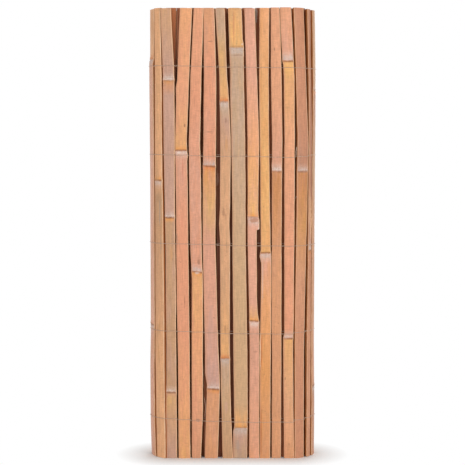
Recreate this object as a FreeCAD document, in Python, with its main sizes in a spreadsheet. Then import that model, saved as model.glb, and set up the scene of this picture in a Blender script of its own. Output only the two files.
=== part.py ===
import FreeCAD, Part
import math
import os

# A length of split-bamboo slat fence, rolled up, pressed flat and stood on its slat ends.
# Millimetres. +Z is up along the slats, -Y is the front face of the roll, and the origin is
# the bottom centre of the roll. The strip is walked from its outer end, behind the right-hand
# bend, round the front from right to left, round the left-hand bend and on inwards.

DIMENSIONS = {
    "fence_height": (500.0, "length of every slat"),
    "slat_thickness": (3.8, "wall of the split culm"),
    "slat_width": (11.4, "ordinary slat, as in the back and the hidden turns"),
    "slat_extra_gap": (1.7, "ordinary space between two slats, past the room for a strand"),
    "node_ridge": (0.5, "how far a culm's ring stands out of the skin"),
    "node_reach": (3.5, "how far a ring runs above and below its middle"),
    "knee_height": (355.0, "where a crooked slat bends"),
    "wire_diameter": (0.6, "one strand"),
    "wire_clearance": (0.1, "room between a strand and what it lies against"),
    "wire_gap_clearance": (0.3, "room between a strand and the slat edges it passes"),
    "wire_edge_room": (1.3, "furthest that a strand passes a slat's edge before it turns"),
    "wire_tail": (7.0, "free end of each strand at the outer end of the strip"),
    "wire_tail_bend": (40.0, "degrees that a free end is bent in, round the roll"),
    "bottom_wire_height": (41.6, "lowest wire row above the slat ends"),
    "top_wire_depth": (65.0, "highest wire row below the slat tops"),
    "wire_rows": (5, "number of wire rows"),
    "flat_run": (134.0, "flat front and back of the pressed roll"),
    "inner_bend_radius": (12.0, "bend of the innermost turn round the hollow core"),
    "full_turns": (2, "whole turns outside the innermost bend"),
    "turn_clearance": (0.2, "room between one turn and the next"),
    "middle_slat_offset": (7.8, "widest front slat, right of the middle of the flat run"),
    "slats_behind_right": (1, "slats from the strip's outer end to the first one seen"),
}

# The fifteen slats seen from the front, right to left. Each line has the slat's width at its
# foot, knee and top, the gap after it past a strand's own room, how far its foot and its top
# lean to the right of the knee, and the heights of its rings.
FRONT_SLATS = [
    (12.0, 12.0, 11.6, 0.0, -1.6, -1.8, (77.0, 410.0)),
    (6.0, 5.6, 5.0, 0.0, -1.6, -2.9, (236.0,)),
    (10.8, 12.2, 11.6, 0.0, -2.8, -4.8, (320.0,)),
    (11.0, 11.7, 12.4, 0.3, -0.7, -4.6, (136.0, 439.0)),
    (9.9, 11.4, 9.7, 1.1, -0.3, -2.5, (321.0,)),
    (10.4, 10.4, 10.9, 0.1, 1.1, -0.5, (230.0,)),
    (10.6, 12.4, 12.0, 1.4, 1.4, -4.0, (154.0, 270.0)),
    (14.8, 14.7, 15.2, 0.3, 2.6, -3.7, (34.0, 456.0)),
    (10.8, 11.4, 10.0, 1.6, 1.9, -5.2, (112.0, 397.0)),
    (14.6, 14.1, 11.4, 0.6, 1.7, -1.0, (78.0, 326.0)),
    (10.8, 12.2, 10.5, 0.9, 2.6, 4.6, (209.0,)),
    (12.4, 12.4, 12.8, 0.0, 3.3, 5.9, (343.0,)),
    (11.0, 11.6, 11.4, 0.0, 2.0, -2.0, (74.0, 270.0, 421.0)),
    (12.0, 10.6, 9.0, 0.0, 2.4, -0.6, (310.0,)),
    (14.0, 14.0, 14.0, 0.6, 1.0, -0.8, (148.0, 444.0)),
]
MIDDLE_SLAT = 7
SETTLING_STEPS = 5
LOWEST_RING = 60.0
RING_RISE = 137.0
WIRE_SIDES = 3
IDLE_TURN = math.radians(0.02)

document = FreeCAD.newDocument("BambooFenceRoll")
sheet = document.addObject("Spreadsheet::Sheet", "Dimensions")


def write_sheet():
    """Put every driving dimension in the sheet, with its alias and what it is."""
    rows = [(name, number, note) for name, (number, note) in DIMENSIONS.items()]
    for index, (foot, knee, top, gap, foot_lean, top_lean, _) in enumerate(FRONT_SLATS):
        name = "front_slat_" + str(index + 1)
        rows.append((name + "_foot_width", foot, "width at the foot"))
        rows.append((name + "_knee_width", knee, "width at the knee"))
        rows.append((name + "_top_width", top, "width at the top"))
        rows.append((name + "_extra_gap", gap, "gap to the next slat, past a strand's room"))
        rows.append((name + "_foot_lean", foot_lean, "foot, right of the knee"))
        rows.append((name + "_top_lean", top_lean, "top, right of the knee"))
    for line, (name, number, note) in enumerate(rows, start=1):
        sheet.set("A" + str(line), name)
        sheet.set("B" + str(line), str(number))
        sheet.setAlias("B" + str(line), name)
        sheet.set("C" + str(line), note)
    document.recompute()


write_sheet()


def size(name):
    """The number that the sheet holds under this alias."""
    return float(sheet.get(name))


HEIGHT = size("fence_height")
KNEE = size("knee_height")
HALF_SLAT = size("slat_thickness") / 2
WIRE_RADIUS = size("wire_diameter") / 2

# The strands of a row lie one above the other, and each turn's lie above the last turn's.
STRAND_SPACING = size("wire_diameter") + size("wire_clearance")
CLIMB_PER_TURN = 2 * STRAND_SPACING + size("turn_clearance")
WIRE_OFFSET = HALF_SLAT + size("wire_clearance") + WIRE_RADIUS

# A straight slat across a bend stands out at its edges, most of all on the tightest bend.
SLAT_REACH = size("slat_width") / 2 + size("wire_edge_room")
CHORD_RISE = SLAT_REACH ** 2 / (2 * (size("inner_bend_radius") + WIRE_OFFSET))
TURN_PITCH = size("slat_thickness") + size("wire_diameter") + 2 * size("wire_clearance") + CHORD_RISE
FULL_TURNS = int(size("full_turns"))
OUTER_RADIUS = size("inner_bend_radius") + FULL_TURNS * TURN_PITCH
FLAT_RUN = size("flat_run")

ROW_COUNT = int(size("wire_rows"))
LOWEST_ROW = size("bottom_wire_height")
ROW_PITCH = (HEIGHT - LOWEST_ROW - size("top_wire_depth")) / (ROW_COUNT - 1)
ROW_HEIGHTS = [LOWEST_ROW + row * ROW_PITCH for row in range(ROW_COUNT)]


def spiral_run(kind, length, radius, origin, heading):
    """One run of the spiral. Its origin is a bend's centre or a flat's start."""
    return {
        "kind": kind,
        "length": length,
        "radius": radius,
        "origin": FreeCAD.Vector(origin[0], origin[1], 0),
        "heading": heading,
    }


def spiral_runs():
    """The flattened spiral from its outer end inwards: right bend, front, left bend, back."""
    runs = []
    radius = OUTER_RADIUS
    heading = 180.0
    right, left = FLAT_RUN / 2, -FLAT_RUN / 2
    for _ in range(FULL_TURNS):
        left_radius = radius - TURN_PITCH / 2
        rear = radius - TURN_PITCH
        left_centre = (left, -TURN_PITCH / 2)
        runs.append(spiral_run("bend", math.pi * radius, radius, (right, 0.0), heading))
        runs.append(spiral_run("flat", FLAT_RUN, radius, (right, -radius), heading - 180))
        runs.append(spiral_run("bend", math.pi * left_radius, left_radius, left_centre, heading - 180))
        runs.append(spiral_run("flat", FLAT_RUN, rear, (left, rear), heading - 360))
        radius = rear
        heading -= 360
    runs.append(spiral_run("bend", math.pi * radius, radius, (right, 0.0), heading))
    runs.append(spiral_run("flat", FLAT_RUN, radius, (right, -radius), heading - 180))
    return runs


RUNS = spiral_runs()
RUNS_PER_TURN = 4


def outward(heading):
    angle = math.radians(heading)
    return FreeCAD.Vector(math.sin(angle), -math.cos(angle), 0)


def rightward(heading):
    angle = math.radians(heading)
    return FreeCAD.Vector(math.cos(angle), math.sin(angle), 0)


def run_at(distance):
    """The spiral's run at this distance, with its number and how far into it the place lies."""
    number = 0
    while number + 1 < len(RUNS) and distance > RUNS[number]["length"]:
        distance -= RUNS[number]["length"]
        number += 1
    return dict(RUNS[number], number=number, along=distance)


def on_spiral(distance):
    """The strip's place, heading and turn, this far round from the rear of the right bend."""
    run = run_at(distance)
    turn = run["number"] // RUNS_PER_TURN
    if run["kind"] == "flat":
        return run["origin"] - rightward(run["heading"]) * run["along"], run["heading"], turn
    heading = run["heading"] - math.degrees(run["along"] / run["radius"])
    return run["origin"] + outward(heading) * run["radius"], heading, turn


def lean_and_width(slat, height):
    """How far right of its knee the slat's middle is at this height, and how wide it is."""
    if not slat["front"]:
        return 0.0, slat["width"]
    name = "front_slat_" + str(slat["front"])
    if height <= KNEE:
        part = 1 - height / KNEE
        lean, width = size(name + "_foot_lean"), size(name + "_foot_width")
    else:
        part = (height - KNEE) / (HEIGHT - KNEE)
        lean, width = size(name + "_top_lean"), size(name + "_top_width")
    return lean * part, slat["width"] + (width - slat["width"]) * part


def edge_point(slat, height, side, face):
    """A left (-1) or right (1) edge at this height, on the inner, middle or outer plane."""
    lean, width = lean_and_width(slat, height)
    across = rightward(slat["heading"]) * (lean + side * width / 2)
    return slat["centre"] + across + outward(slat["heading"]) * (face * HALF_SLAT)


def room_between(slat, following, height):
    """The clear width between two neighbours at this height, at their inner or outer corners."""
    along = rightward(slat["heading"]) + rightward(following["heading"])
    along.normalize()
    return min(
        (edge_point(slat, height, -1, face) - edge_point(following, height, 1, face)).dot(along)
        for face in (-1, 1)
    )


def place(slat):
    slat["centre"], slat["heading"], slat["turn"] = on_spiral(slat["distance"])


def settle(slat, following, direction):
    """Set one neighbour beside the other, so that a strand passes between them at every row."""
    fixed, moving = (slat, following) if direction > 0 else (following, slat)
    row_room = size("wire_diameter") + 2 * size("wire_gap_clearance") + slat["extra_gap"]
    moving["distance"] = fixed["distance"] + direction * (slat["width"] + following["width"]) / 2
    for _ in range(SETTLING_STEPS):
        place(moving)
        at_rows = min(room_between(slat, following, height) for height in ROW_HEIGHTS)
        at_ends = min(room_between(slat, following, height) for height in (0.0, HEIGHT))
        shortfall = max(row_room - at_rows, size("wire_gap_clearance") - at_ends)
        moving["distance"] += direction * shortfall
    place(moving)


def front_slat(number):
    """The sizes of one slat seen from the front, before it has a place."""
    name = "front_slat_" + str(number)
    return {
        "width": size(name + "_knee_width"),
        "extra_gap": size(name + "_extra_gap"),
        "front": number,
    }


def lay_out_slats():
    """Every slat of the strip, from its outer end inwards, with its place on the spiral."""
    ordinary = {"width": size("slat_width"), "extra_gap": size("slat_extra_gap"), "front": 0}
    behind = int(size("slats_behind_right"))
    slats = [dict(ordinary) for _ in range(behind)]
    slats += [front_slat(number) for number in range(1, len(FRONT_SLATS) + 1)]
    middle = behind + int(MIDDLE_SLAT)
    front_middle = math.pi * OUTER_RADIUS + FLAT_RUN / 2
    slats[middle]["distance"] = front_middle - size("middle_slat_offset")
    place(slats[middle])
    for index in range(middle, 0, -1):
        settle(slats[index - 1], slats[index], -1)
    for index in range(middle + 1, len(slats)):
        settle(slats[index - 1], slats[index], 1)
    end_of_strip = sum(run["length"] for run in RUNS)
    while slats[-1]["distance"] + ordinary["width"] / 2 <= end_of_strip:
        slats.append(dict(ordinary))
        settle(slats[-2], slats[-1], 1)
    slats.pop()
    return slats


SLATS = lay_out_slats()


def clear_of_rows(height):
    """A ring's height, set beside any wire row that would cross it."""
    reach = size("node_reach") + CLIMB_PER_TURN + STRAND_SPACING
    for row_height in ROW_HEIGHTS:
        middle = row_height + CLIMB_PER_TURN / 2
        if abs(height - middle) < reach:
            side = 1 if height > middle else -1
            return middle + side * reach
    return height


def ring_heights(slat, index):
    """The heights of a slat's rings, clear of the wire rows and of the slat's ends."""
    if slat["front"]:
        wanted = FRONT_SLATS[slat["front"] - 1][6]
    else:
        wanted = (LOWEST_RING + (index * RING_RISE) % (HEIGHT - 2 * LOWEST_RING),)
    placed = [clear_of_rows(height) for height in wanted]
    reach = size("node_reach")
    return sorted(height for height in placed if reach < height < HEIGHT - reach)


def edge_rule(slat, height, side):
    """The rule, in the sheet's own names, that sets one edge of the slat at this height."""
    if not slat["front"]:
        return str(side) + " * Dimensions.slat_width / 2"
    name = "Dimensions.front_slat_" + str(slat["front"])
    end = "_foot" if height <= KNEE else "_top"
    part = 1 - height / KNEE if height <= KNEE else (height - KNEE) / (HEIGHT - KNEE)
    knee_width = name + "_knee_width"
    width = "({0} + ({1}_width - {0}) * {2:.9f})".format(knee_width, name + end, part)
    return "{0}_lean * {1:.9f} + {2} * {3} / 2".format(name + end, part, side, width)


def slat_placement(slat):
    upright = FreeCAD.Rotation(FreeCAD.Vector(1, 0, 0), 90)
    facing = FreeCAD.Rotation(FreeCAD.Vector(0, 0, 1), slat["heading"])
    return FreeCAD.Placement(slat["centre"] - MIDDLE, facing.multiply(upright))


def slat_stations(slat, index):
    """Heights where the slat changes, each with whether its skin stands out there."""
    stations = {0.0: False, HEIGHT: False}
    if slat["front"] and KNEE < HEIGHT:
        stations[KNEE] = False
    reach = size("node_reach")
    for ring in ring_heights(slat, index):
        for height in [height for height in stations if abs(height - ring) < reach]:
            del stations[height]
        stations[ring - reach] = False
        stations[ring] = True
        stations[ring + reach] = False
    return sorted(stations.items())


def height_rule(height):
    if height == HEIGHT:
        return "Dimensions.fence_height"
    if height == KNEE:
        return "Dimensions.knee_height"
    return "{0:.6f}".format(height)


def outer_slat(slat, index, name):
    """One slat of the outer turn: tapered lengths end to end, with a raised ring at each node."""
    spans = []
    stations = slat_stations(slat, index)
    for (low, low_ring), (high, high_ring) in zip(stations, stations[1:]):
        span = document.addObject("Part::Wedge", name + "_span")
        span.setExpression("Ymin", height_rule(low))
        span.setExpression("Ymax", height_rule(high))
        span.setExpression("Xmin", edge_rule(slat, low, -1))
        span.setExpression("Xmax", edge_rule(slat, low, 1))
        span.setExpression("X2min", edge_rule(slat, high, -1))
        span.setExpression("X2max", edge_rule(slat, high, 1))
        skin = "Dimensions.slat_thickness / 2"
        ring = skin + " + Dimensions.node_ridge"
        span.setExpression("Zmin", "-" + skin)
        span.setExpression("Z2min", "-" + skin)
        span.setExpression("Zmax", ring if low_ring else skin)
        span.setExpression("Z2max", ring if high_ring else skin)
        spans.append(span)
    if len(spans) == 1:
        whole = spans[0]
    else:
        whole = document.addObject("Part::MultiFuse", name)
        whole.Shapes = spans
        whole.Refine = True
    whole.Placement = slat_placement(slat)
    return whole


def hidden_slat(slat, name):
    """One plain slat of a hidden turn."""
    strip = document.addObject("Part::Box", name)
    strip.setExpression("Length", "Dimensions.slat_width")
    strip.setExpression("Width", "Dimensions.fence_height")
    strip.setExpression("Height", "Dimensions.slat_thickness")
    corner = FreeCAD.Vector(-slat["width"] / 2, 0, -HALF_SLAT)
    strip.Placement = slat_placement(slat).multiply(FreeCAD.Placement(corner, FreeCAD.Rotation()))
    return strip


def wire_point(slat, neighbour, along, side, level):
    """A strand's point beside a slat, as high as the row has climbed at this neighbour's gap."""
    out = outward(slat["heading"]) * (side * WIRE_OFFSET)
    point = slat["centre"] + rightward(slat["heading"]) * along + out
    gap_heading = (slat["heading"] + neighbour["heading"]) / 2
    winding = (SLATS[0]["heading"] - gap_heading) / 360
    return point + FreeCAD.Vector(0, 0, level + winding * CLIMB_PER_TURN)


def crossing_reach(slat, other, height, edge_side, face_side):
    """How far past its edge a strand follows this slat's face before it turns into the gap."""
    right, out = rightward(slat["heading"]), outward(slat["heading"])
    edge = edge_point(slat, height, edge_side, 0)
    inner, outer = (
        (edge_point(slat, height, edge_side, face) + edge_point(other, height, -edge_side, face)) * 0.5
        for face in (-1, 1)
    )
    across = outer - inner
    rise = face_side * WIRE_OFFSET - (inner - edge).dot(out)
    reach = edge_side * ((inner - edge).dot(right) + rise * across.dot(right) / across.dot(out))
    return min(reach, size("wire_edge_room"))


def strand_points(row_height, first_side, level):
    """The route of one strand, from its tail at the outer end to the last slat inside."""
    points = []
    side = first_side
    for index, slat in enumerate(SLATS):
        lean, width = lean_and_width(slat, row_height)
        previous = SLATS[max(index - 1, 0)]
        following = SLATS[min(index + 1, len(SLATS) - 1)]
        before, after = size("wire_edge_room"), size("wire_edge_room")
        if previous is not slat:
            before = crossing_reach(slat, previous, row_height, 1, side)
        if following is not slat:
            after = crossing_reach(slat, following, row_height, -1, side)
        points.append(wire_point(slat, previous, lean + width / 2 + before, side, level))
        points.append(wire_point(slat, following, lean - width / 2 - after, side, level))
        side = -side
    tail_heading = SLATS[0]["heading"] + size("wire_tail_bend")
    tail = points[0] + rightward(tail_heading) * size("wire_tail")
    return without_idle_points([tail] + points)


def without_idle_points(points):
    """The same route without the points that hardly turn it."""
    kept = [points[0]]
    for point, following in zip(points[1:], points[2:]):
        arriving = point - kept[-1]
        leaving = following - point
        if arriving.getAngle(leaving) > IDLE_TURN:
            kept.append(point)
    kept.append(points[-1])
    return kept


def roll_middle():
    """The bottom centre of the box round all the slats."""
    corners = []
    for slat in SLATS:
        for height in (0.0, KNEE, HEIGHT):
            lean, width = lean_and_width(slat, min(height, HEIGHT))
            for along in (lean - width / 2, lean + width / 2):
                for side in (-HALF_SLAT, HALF_SLAT):
                    out = outward(slat["heading"]) * side
                    corners.append(slat["centre"] + rightward(slat["heading"]) * along + out)
    across = [corner.x for corner in corners]
    deep = [corner.y for corner in corners]
    return FreeCAD.Vector((min(across) + max(across)) / 2, (min(deep) + max(deep)) / 2, 0)


MIDDLE = roll_middle()


def wire_strand(row, letter, first_side, level):
    """One strand of a wire row: a bent wire swept along its route through the slats."""
    name = "wire_row_" + str(row + 1) + "_strand_" + letter
    points = strand_points(ROW_HEIGHTS[row], first_side, level)
    route = document.addObject("Part::Polygon", name + "_route")
    route.Nodes = points
    route.Close = False
    section = document.addObject("Part::RegularPolygon", name + "_section")
    section.Polygon = WIRE_SIDES
    section.setExpression("Circumradius", "Dimensions.wire_diameter / 2")
    facing = FreeCAD.Rotation(FreeCAD.Vector(0, 0, 1), points[1] - points[0])
    section.Placement = FreeCAD.Placement(points[0], facing)
    document.recompute()
    strand = document.addObject("Part::Sweep", name)
    strand.Sections = [section]
    strand.Spine = (route, [])
    strand.Solid = True
    strand.Frenet = False
    strand.Transition = "Right corner"
    strand.Placement = FreeCAD.Placement(
        FreeCAD.Vector(0, 0, ROW_HEIGHTS[row]) - MIDDLE, FreeCAD.Rotation()
    )
    return strand


def build_slats():
    """The outer turn's slats one by one, and each hidden turn's slats as one group."""
    parts = []
    groups = {}
    for index, slat in enumerate(SLATS):
        if slat["turn"] == 0:
            name = "slat_{0:02d}".format(index + 1)
            parts.append((name, outer_slat(slat, index, name)))
        else:
            name = "turn_" + str(slat["turn"] + 1) + "_slats"
            groups.setdefault(name, []).append(hidden_slat(slat, name + "_strip"))
    for name, strips in groups.items():
        group = document.addObject("Part::Compound", name)
        group.Links = strips
        group.Placement = FreeCAD.Placement()
        parts.append((name, group))
    return parts


def build_wires():
    parts = []
    for row in range(ROW_COUNT):
        for letter, first_side, level in (("a", 1, 0.5), ("b", -1, -0.5)):
            strand = wire_strand(row, letter, first_side, level * STRAND_SPACING)
            parts.append((strand.Name, strand))
    return parts


def check_and_write(parts):
    """Stop on any failed object or shape, then write one STEP file for each node."""
    for thing in document.Objects:
        if "Invalid" in thing.State or "Error" in thing.State:
            raise RuntimeError(thing.Name + " did not recompute")
    for name, part in parts:
        part.Label = name
        if part.Shape.isNull() or not part.Shape.isValid():
            raise RuntimeError(name + " has no valid shape")
    os.makedirs("parts", exist_ok=True)
    for name, part in parts:
        part.Shape.exportStep("parts/" + name + ".step")


PARTS = build_slats() + build_wires()
document.recompute()
check_and_write(PARTS)
print("slats", len(SLATS), "nodes", len(PARTS), "strip length", round(SLATS[-1]["distance"]))
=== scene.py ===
import bpy
import math
import random
from mathutils import Matrix, Vector, noise


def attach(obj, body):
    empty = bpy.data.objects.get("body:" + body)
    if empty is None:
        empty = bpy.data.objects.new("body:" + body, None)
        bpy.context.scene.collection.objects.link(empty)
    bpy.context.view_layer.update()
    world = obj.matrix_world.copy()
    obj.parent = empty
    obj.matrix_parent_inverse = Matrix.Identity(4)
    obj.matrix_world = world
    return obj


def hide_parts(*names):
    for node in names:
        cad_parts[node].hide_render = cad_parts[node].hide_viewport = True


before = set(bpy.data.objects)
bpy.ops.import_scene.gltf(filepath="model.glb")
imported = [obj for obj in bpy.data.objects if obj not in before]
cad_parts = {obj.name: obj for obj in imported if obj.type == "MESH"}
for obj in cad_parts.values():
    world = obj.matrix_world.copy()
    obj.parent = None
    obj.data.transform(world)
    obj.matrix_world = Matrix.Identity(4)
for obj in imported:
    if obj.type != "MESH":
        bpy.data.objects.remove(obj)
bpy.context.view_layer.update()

# A rolled length of split-bamboo fence. Sizes are in millimetres and are turned to metres when
# a mesh is made. Each slat is dressed on the solid that the frame holds for it.

METRES = 0.001
FENCE_HEIGHT = 500.0
SLAT_THICKNESS = 3.8
HALF_SLAT = SLAT_THICKNESS / 2
CORE_HALF_WIDTH = 67.0

# The skin of a split culm is a little crowned and its inner wall a little hollow.
CROWN_RISE = 0.12
CROWN_FALL = 0.5
WALL_HOLLOW = 0.35
WALL_CORNER = 0.35
WALL_ALLOWANCE = 0.05
WALL_RIPPLE = 0.12
WALL_RIPPLE_LENGTH = 25.0
BEVEL_DROP = 0.55
BEVEL_LEAN = 0.08
SIDE_LEAN = 0.1
SIDE_FOOT = 0.5
SIDE_RIPPLE = 0.14
SIDE_RIPPLE_LENGTH = 6.0
# Each ripple of the skin: its height, its length, how often it crosses the slat, and its place in
# the noise.
SKIN_RIPPLES = ((0.10, 45.0, 1.3, 9.0), (0.03, 12.0, 4.0, 13.0))
# Each part of a ring's form: its rise, its distance above the scar, and its half width.
RING_FORM = ((0.34, -1.8, 1.9), (0.16, 1.6, 1.2), (-0.34, 0.0, 0.5))
# The skin is a little wider at a ring.
RING_BULGE = 0.25
RING_BULGE_REACH = 2.4
# Each wander of an edge: how far, over what length, and its place in the noise.
EDGE_WANDERS = ((0.16, 24.0, 8.0), (0.08, 9.0, 4.0))
LONG_WANDER_LENGTH = 70.0
# A crack's stations, in half lengths from its middle.
CRACK_STATIONS = (-1.2, -0.9, -0.5, 0.0, 0.5, 0.9, 1.2)

# A slat's section is set this often up its length, and more often at a ring.
STATION_STEP = 4.0
HIDDEN_STATION_STEP = 10.0
RING_STATION_STEP = 0.55
RING_ZONE = 6.0
SECTION_STEPS = 12
CRACKED_SECTION_STEPS = 26
HIDDEN_SECTION_STEPS = 6

WIRE_ROWS = (41.6, 139.95, 238.3, 336.65, 435.0)
WIRE_DIAMETER = 0.6
WIRE_SIDES = 8
STRAND_SPACING = 0.7
CLIMB_PER_TURN = 1.6
WIRE_CLEARANCE = 0.03

# The tones of weathered bamboo skin.
GOLD = "#EDB370"
HONEY = "#E6AA70"
WHEAT = "#DBA970"
AMBER = "#E09C60"
OCHRE = "#D1955C"
SPICE = "#C98852"
APRICOT = "#ECA876"
PEACH = "#E6A47C"
SALMON = "#E39C78"
SAND = "#DDA67C"
BISCUIT = "#D2A076"
STRAW = "#D0A77E"
KHAKI = "#C7A488"
DRAB = "#BC9A80"
FAWN = "#C79A74"
BLUSH = "#E3A68A"
ROSE = "#DCA084"
LILAC = "#CFA490"
MAUVE = "#C99D8D"
TAUPE = "#C89C86"
CLAY = "#D49874"
RUSSET = "#CB8D6B"
CHESTNUT = "#BD8669"
TAN = "#DB9C70"
CREAM = "#EEB282"
SHELL = "#EAB095"
CINNAMON = "#BC7043"
COCOA = "#A45C33"
UMBER = "#7A4020"

# The powdery bloom beside a ring, the lip on its other side, the scar between and dark stains.
PEARL = "#E2CDC0"
FROST = "#D6C0B4"
ASH = "#CAB5A8"
BRIGHT_LIP = "#EFA357"
LIP = "#E5985A"
RED_LIP = "#E28A50"
SCAR = "#9A623C"
STAIN = "#8A5A40"
RED_STAIN = "#C9705A"
GREY_STAIN = "#A8988C"


def hex_colour(code):
    """A colour written as sRGB hex, as linear red, green, blue and alpha."""
    channels = [int(code[i:i + 2], 16) / 255 for i in (1, 3, 5)]
    linear = [c / 12.92 if c <= 0.04045 else ((c + 0.055) / 1.055) ** 2.4 for c in channels]
    return (*linear, 1.0)


def add(material, kind, inputs=None, stops=None, **settings):
    """Add a node with its settings, and set or link its inputs. An input goes by its name, or by
    its number among those in use. A node given as a value is linked from its first output in use."""
    tree = material.node_tree
    node = tree.nodes.new(kind)
    for name, value in settings.items():
        setattr(node, name, value)
    in_use = [socket for socket in node.inputs if socket.enabled]
    for name, value in (inputs or {}).items():
        socket = in_use[name] if isinstance(name, int) else next(s for s in in_use if s.name == name)
        if isinstance(value, bpy.types.Node):
            value = next(output for output in value.outputs if output.enabled)
        if isinstance(value, bpy.types.NodeSocket):
            tree.links.new(value, socket)
        else:
            socket.default_value = value
    for number, (position, colour) in enumerate(sorted(stops or [])):
        elements = node.color_ramp.elements
        element = elements[number] if number < len(elements) else elements.new(position)
        element.position = position
        element.color = colour
    return node


def new_material(name):
    material = bpy.data.materials.new(name)
    material.use_nodes = True
    material.node_tree.nodes.clear()
    return material


def finish_material(material, **shader):
    """Put the shader and the output on a material's colour, relief and gloss."""
    inputs = {name.replace("_", " "): value for name, value in shader.items()}
    surface = add(material, "ShaderNodeBsdfPrincipled", inputs)
    add(material, "ShaderNodeOutputMaterial", {"Surface": surface})
    return material


def fibres(material, across, along, shift, detail=2.0, roughness=0.5):
    """Noise whose grains are so many millimetres wide and long, running up the culm."""
    place = add(material, "ShaderNodeTexCoord").outputs["Object"]
    grain_scale = (1 / (across * METRES), 1 / (across * METRES), 1 / (along * METRES))
    scaled = add(
        material, "ShaderNodeMapping",
        {"Vector": place, "Location": (shift, shift * 0.37, shift * 0.61), "Scale": grain_scale},
    )
    return add(
        material, "ShaderNodeTexNoise",
        {"Vector": scaled, "Scale": 1.0, "Detail": detail, "Roughness": roughness},
    )


def grain(material, size, shift, seen, amount, detail=2.0, roughness=0.5):
    """How strongly a grain shows, from one amount to another, with its size in millimetres across
    and along the fibres. Between the two levels in seen, the noise brings it out."""
    return add(
        material, "ShaderNodeMapRange",
        {
            "Value": fibres(material, *size, shift, detail, roughness),
            "From Min": seen[0], "From Max": seen[1], "To Min": amount[0], "To Max": amount[1],
        },
    )


def nearest_tone(tones, height):
    return hex_colour(min(tones, key=lambda tone: abs(tone[0] - height))[1])


def tone_stops(tones, rings):
    """A slat's tones from foot to top, with a bright lip and a dark scar at each ring."""
    stops = [(height, hex_colour(tone)) for height, tone in tones]
    for height, side, _, _, lip in rings:
        stops = [stop for stop in stops if abs(stop[0] - height) > RING_ZONE]
        stops += [
            (height - side * RING_ZONE, nearest_tone(tones, height - side * RING_ZONE)),
            (height - side * 1.5, hex_colour(lip)),
            (height - side * 0.6, hex_colour(SCAR)),
            (height + side * 0.3, hex_colour(SCAR)),
            (height + side * 1.0, nearest_tone(tones, height + side * RING_ZONE)),
        ]
    return [(min(max(height / FENCE_HEIGHT, 0.0), 1.0), colour) for height, colour in stops]


def bloom_stops(rings):
    """The colour of the powder beside each ring, with how thick it lies as its alpha."""
    stops = []
    for height, side, bloom, length, _ in rings:
        powder = hex_colour(bloom)[:3]
        faded = ((0.2, 0.0), (0.8, 1.0), (0.7 * length, 0.8), (length, 0.4), (length + 5.0, 0.0))
        for distance, amount in faded:
            stops.append(((height + side * distance) / FENCE_HEIGHT, (*powder, amount)))
    return stops


def ragged_height(material, slat, ragged, reach):
    """The height up a slat, as a share of the fence's, level with its tilted rings. It strays by
    up to so many millimetres, so that what it colours has a ragged edge."""
    place = add(material, "ShaderNodeTexCoord").outputs["Object"]
    parts = add(material, "ShaderNodeSeparateXYZ", {"Vector": place})
    level = {0: parts.outputs["X"], 1: -slat["tilt"], 2: parts.outputs["Z"]}
    tilted = add(material, "ShaderNodeMath", level, operation="MULTIPLY_ADD")
    middle = slat["tilt"] * slat["centre"].x * METRES
    stray = add(
        material, "ShaderNodeMapRange",
        {
            "Value": ragged, "From Min": 0.2, "From Max": 0.8,
            "To Min": middle - reach * METRES, "To Max": middle + reach * METRES,
        },
    )
    height = add(material, "ShaderNodeMath", {0: tilted, 1: stray}, operation="ADD")
    return add(material, "ShaderNodeMapRange", {"Value": height, "From Max": FENCE_HEIGHT * METRES})


def ring_bloom(material, slat, ragged, shift):
    """The pale powder beside a slat's rings: how thick it lies, and its colour."""
    height = ragged_height(material, slat, ragged, 0.7)
    bloom = add(material, "ShaderNodeValToRGB", {"Fac": height}, bloom_stops(slat["rings"]))
    speckle = grain(material, (0.9, 1.5), shift + 5.0, (0.36, 0.56), (0.35, 1.0))
    thickness = {0: bloom.outputs["Alpha"], 1: speckle}
    return add(material, "ShaderNodeMath", thickness, operation="MULTIPLY"), bloom.outputs["Color"]


def skin_mark(material, slat, ragged, mark):
    """A stain, scratch or patch on the skin, with a ragged edge: how strong it is, and its tone."""
    height, t, length, width, tone, strength = mark
    left, right = edge_at(slat, height, -1), edge_at(slat, height, 1)
    middle = slat_point(slat, (left + right) / 2 + t * (right - left) / 2, HALF_SLAT, height)
    scale = Vector((1 / width, 1 / width, 1 / length)) / METRES
    from_spot = add(
        material, "ShaderNodeMapping",
        {
            "Vector": add(material, "ShaderNodeTexCoord").outputs["Object"],
            "Location": [-m * s for m, s in zip(middle, scale)], "Scale": scale,
        },
    )
    distance = add(material, "ShaderNodeVectorMath", {0: from_spot}, operation="LENGTH")
    rough = add(material, "ShaderNodeMath", {0: ragged, 1: 1.2, 2: distance}, operation="MULTIPLY_ADD")
    amount = add(
        material, "ShaderNodeMapRange",
        {"Value": rough, "From Min": 1.25, "From Max": 1.7, "To Min": strength, "To Max": 0.0},
    )
    return amount, hex_colour(tone)


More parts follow.
